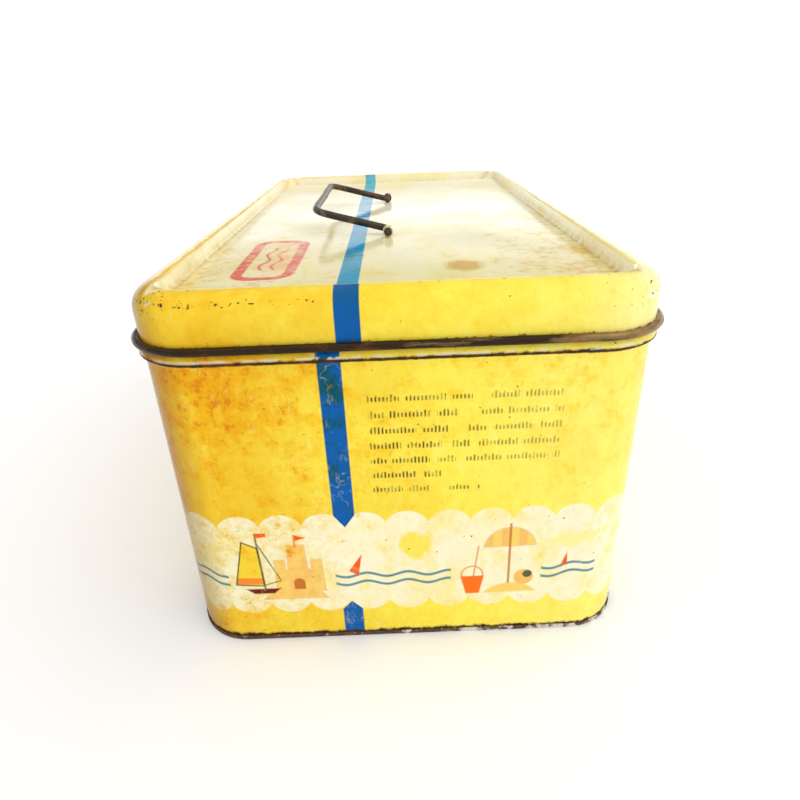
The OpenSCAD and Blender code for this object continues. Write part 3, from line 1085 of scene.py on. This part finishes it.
def plate_tin():
    """Backing plates: plain tinplate with a few spots of rust."""
    g = Graph("plate_tin")
    spangle = g.noise(4, 3, seed=1.5)
    colour = g.mix(srgb(190, 186, 176), srgb(150, 144, 132), spangle.ramp(0.4, 0.6))
    grain = g.noise(2, 4, 0.6, seed=2.6)
    rust_mask = grain.ramp(0.58, 0.64)
    colour = g.mix(colour, srgb(112, 72, 42), rust_mask)
    rough = spangle * 0.2 + 0.25 + rust_mask * 0.3
    return g.finish(colour, rough, 0.9 - rust_mask * 0.7, grain, 0.05)


# ---- stage, light and camera ----

def floor():
    """Plain pale floor."""
    mesh = bpy.data.meshes.new("floor")
    reach = 20.0
    mesh.from_pydata([(-reach, -reach, 0), (reach, -reach, 0), (reach, reach, 0),
                      (-reach, reach, 0)], [], [(0, 1, 2, 3)])
    g = Graph("floor_paint")
    tone = g.noise(300, 2)
    colour = g.mix((0.97, 0.97, 0.97, 1), (0.95, 0.95, 0.95, 1), tone)
    mesh.materials.append(g.finish(colour, 0.9))
    obj = bpy.data.objects.new("floor", mesh)
    bpy.context.scene.collection.objects.link(obj)


def sky_math(tree, value, factor, level):
    """level + value * factor, the factor and the level each a number or a socket."""
    node = tree.nodes.new("ShaderNodeMath")
    node.operation = "MULTIPLY_ADD"
    tree.links.new(value, node.inputs[0])
    for socket, term in zip(node.inputs[1:], (factor, level)):
        if isinstance(term, float):
            socket.default_value = term
        else:
            tree.links.new(term, socket)
    return node.outputs[0]


def sky_ramp(tree, value, start, stop, low, high):
    """low at start and high at stop, straight between and held beyond."""
    node = tree.nodes.new("ShaderNodeMapRange")
    tree.links.new(value, node.inputs["Value"])
    for name, constant in zip(("From Min", "From Max", "To Min", "To Max"),
                              (start, stop, low, high)):
        node.inputs[name].default_value = constant
    return node.outputs[0]


def studio_light():
    """Soft light from all round, strongest low behind, overhead and on the right."""
    ambient, to_the_right, overhead = 1.00, 0.40, 0.42
    low_behind, high_behind = 0.85, -0.72
    world = bpy.data.worlds.new("studio")
    bpy.context.scene.world = world
    world.use_nodes = True
    tree = world.node_tree
    nodes, links = tree.nodes, tree.links
    nodes.clear()
    split = nodes.new("ShaderNodeSeparateXYZ")
    links.new(nodes.new("ShaderNodeTexCoord").outputs["Generated"], split.inputs[0])
    x, y, z = split.outputs
    level = sky_math(tree, x, to_the_right, ambient)
    behind = sky_ramp(tree, y, 0.0, 1.0, 0.0, 1.0)
    by_height = sky_ramp(tree, z, 0.13, 0.26, low_behind, high_behind)
    level = sky_math(tree, behind, by_height, level)
    level = sky_math(tree, sky_ramp(tree, z, 0.3, 0.9, 0.0, 1.0), overhead, level)
    background = nodes.new("ShaderNodeBackground")
    links.new(level, background.inputs["Strength"])
    background.inputs["Color"].default_value = (1, 1, 1, 1)
    out = nodes.new("ShaderNodeOutputWorld")
    links.new(background.outputs[0], out.inputs[0])


def camera():
    """Close, wide view from above the front end, with a slight tilt."""
    data = bpy.data.cameras.new("camera")
    data.lens, data.sensor_width = 26.82, 36.0
    data.clip_start, data.clip_end = 0.01, 50
    obj = bpy.data.objects.new("camera", data)
    bpy.context.scene.collection.objects.link(obj)
    place = (-0.00064, -0.26305, 0.15554)
    yaw, pitch, roll = 0.0032, 0.4687, -0.0373
    ahead = Vector((math.sin(yaw) * math.cos(pitch), math.cos(yaw) * math.cos(pitch),
                    -math.sin(pitch)))
    right = Vector((math.cos(yaw), -math.sin(yaw), 0))
    up = right.cross(ahead)
    right, up = (right * math.cos(roll) + up * math.sin(roll),
                 up * math.cos(roll) - right * math.sin(roll))
    turn = Matrix((right, up, -ahead)).transposed()
    obj.matrix_world = Matrix.Translation(place) @ turn.to_4x4()
    bpy.context.scene.camera = obj


body_sheet()
base_seam()
lid_sheet()
handle_wire()
handle_clip(-1, "front_handle_clip")
handle_clip(1, "rear_handle_clip")
plate_material = plate_tin()
for plate in ("front_backing_plate", "rear_backing_plate"):
    plate_mesh = frame["nodes"][plate].data
    plate_mesh.materials.clear()
    plate_mesh.materials.append(plate_material)
floor()
studio_light()
camera()
bpy.context.scene.view_settings.view_transform = "Standard"
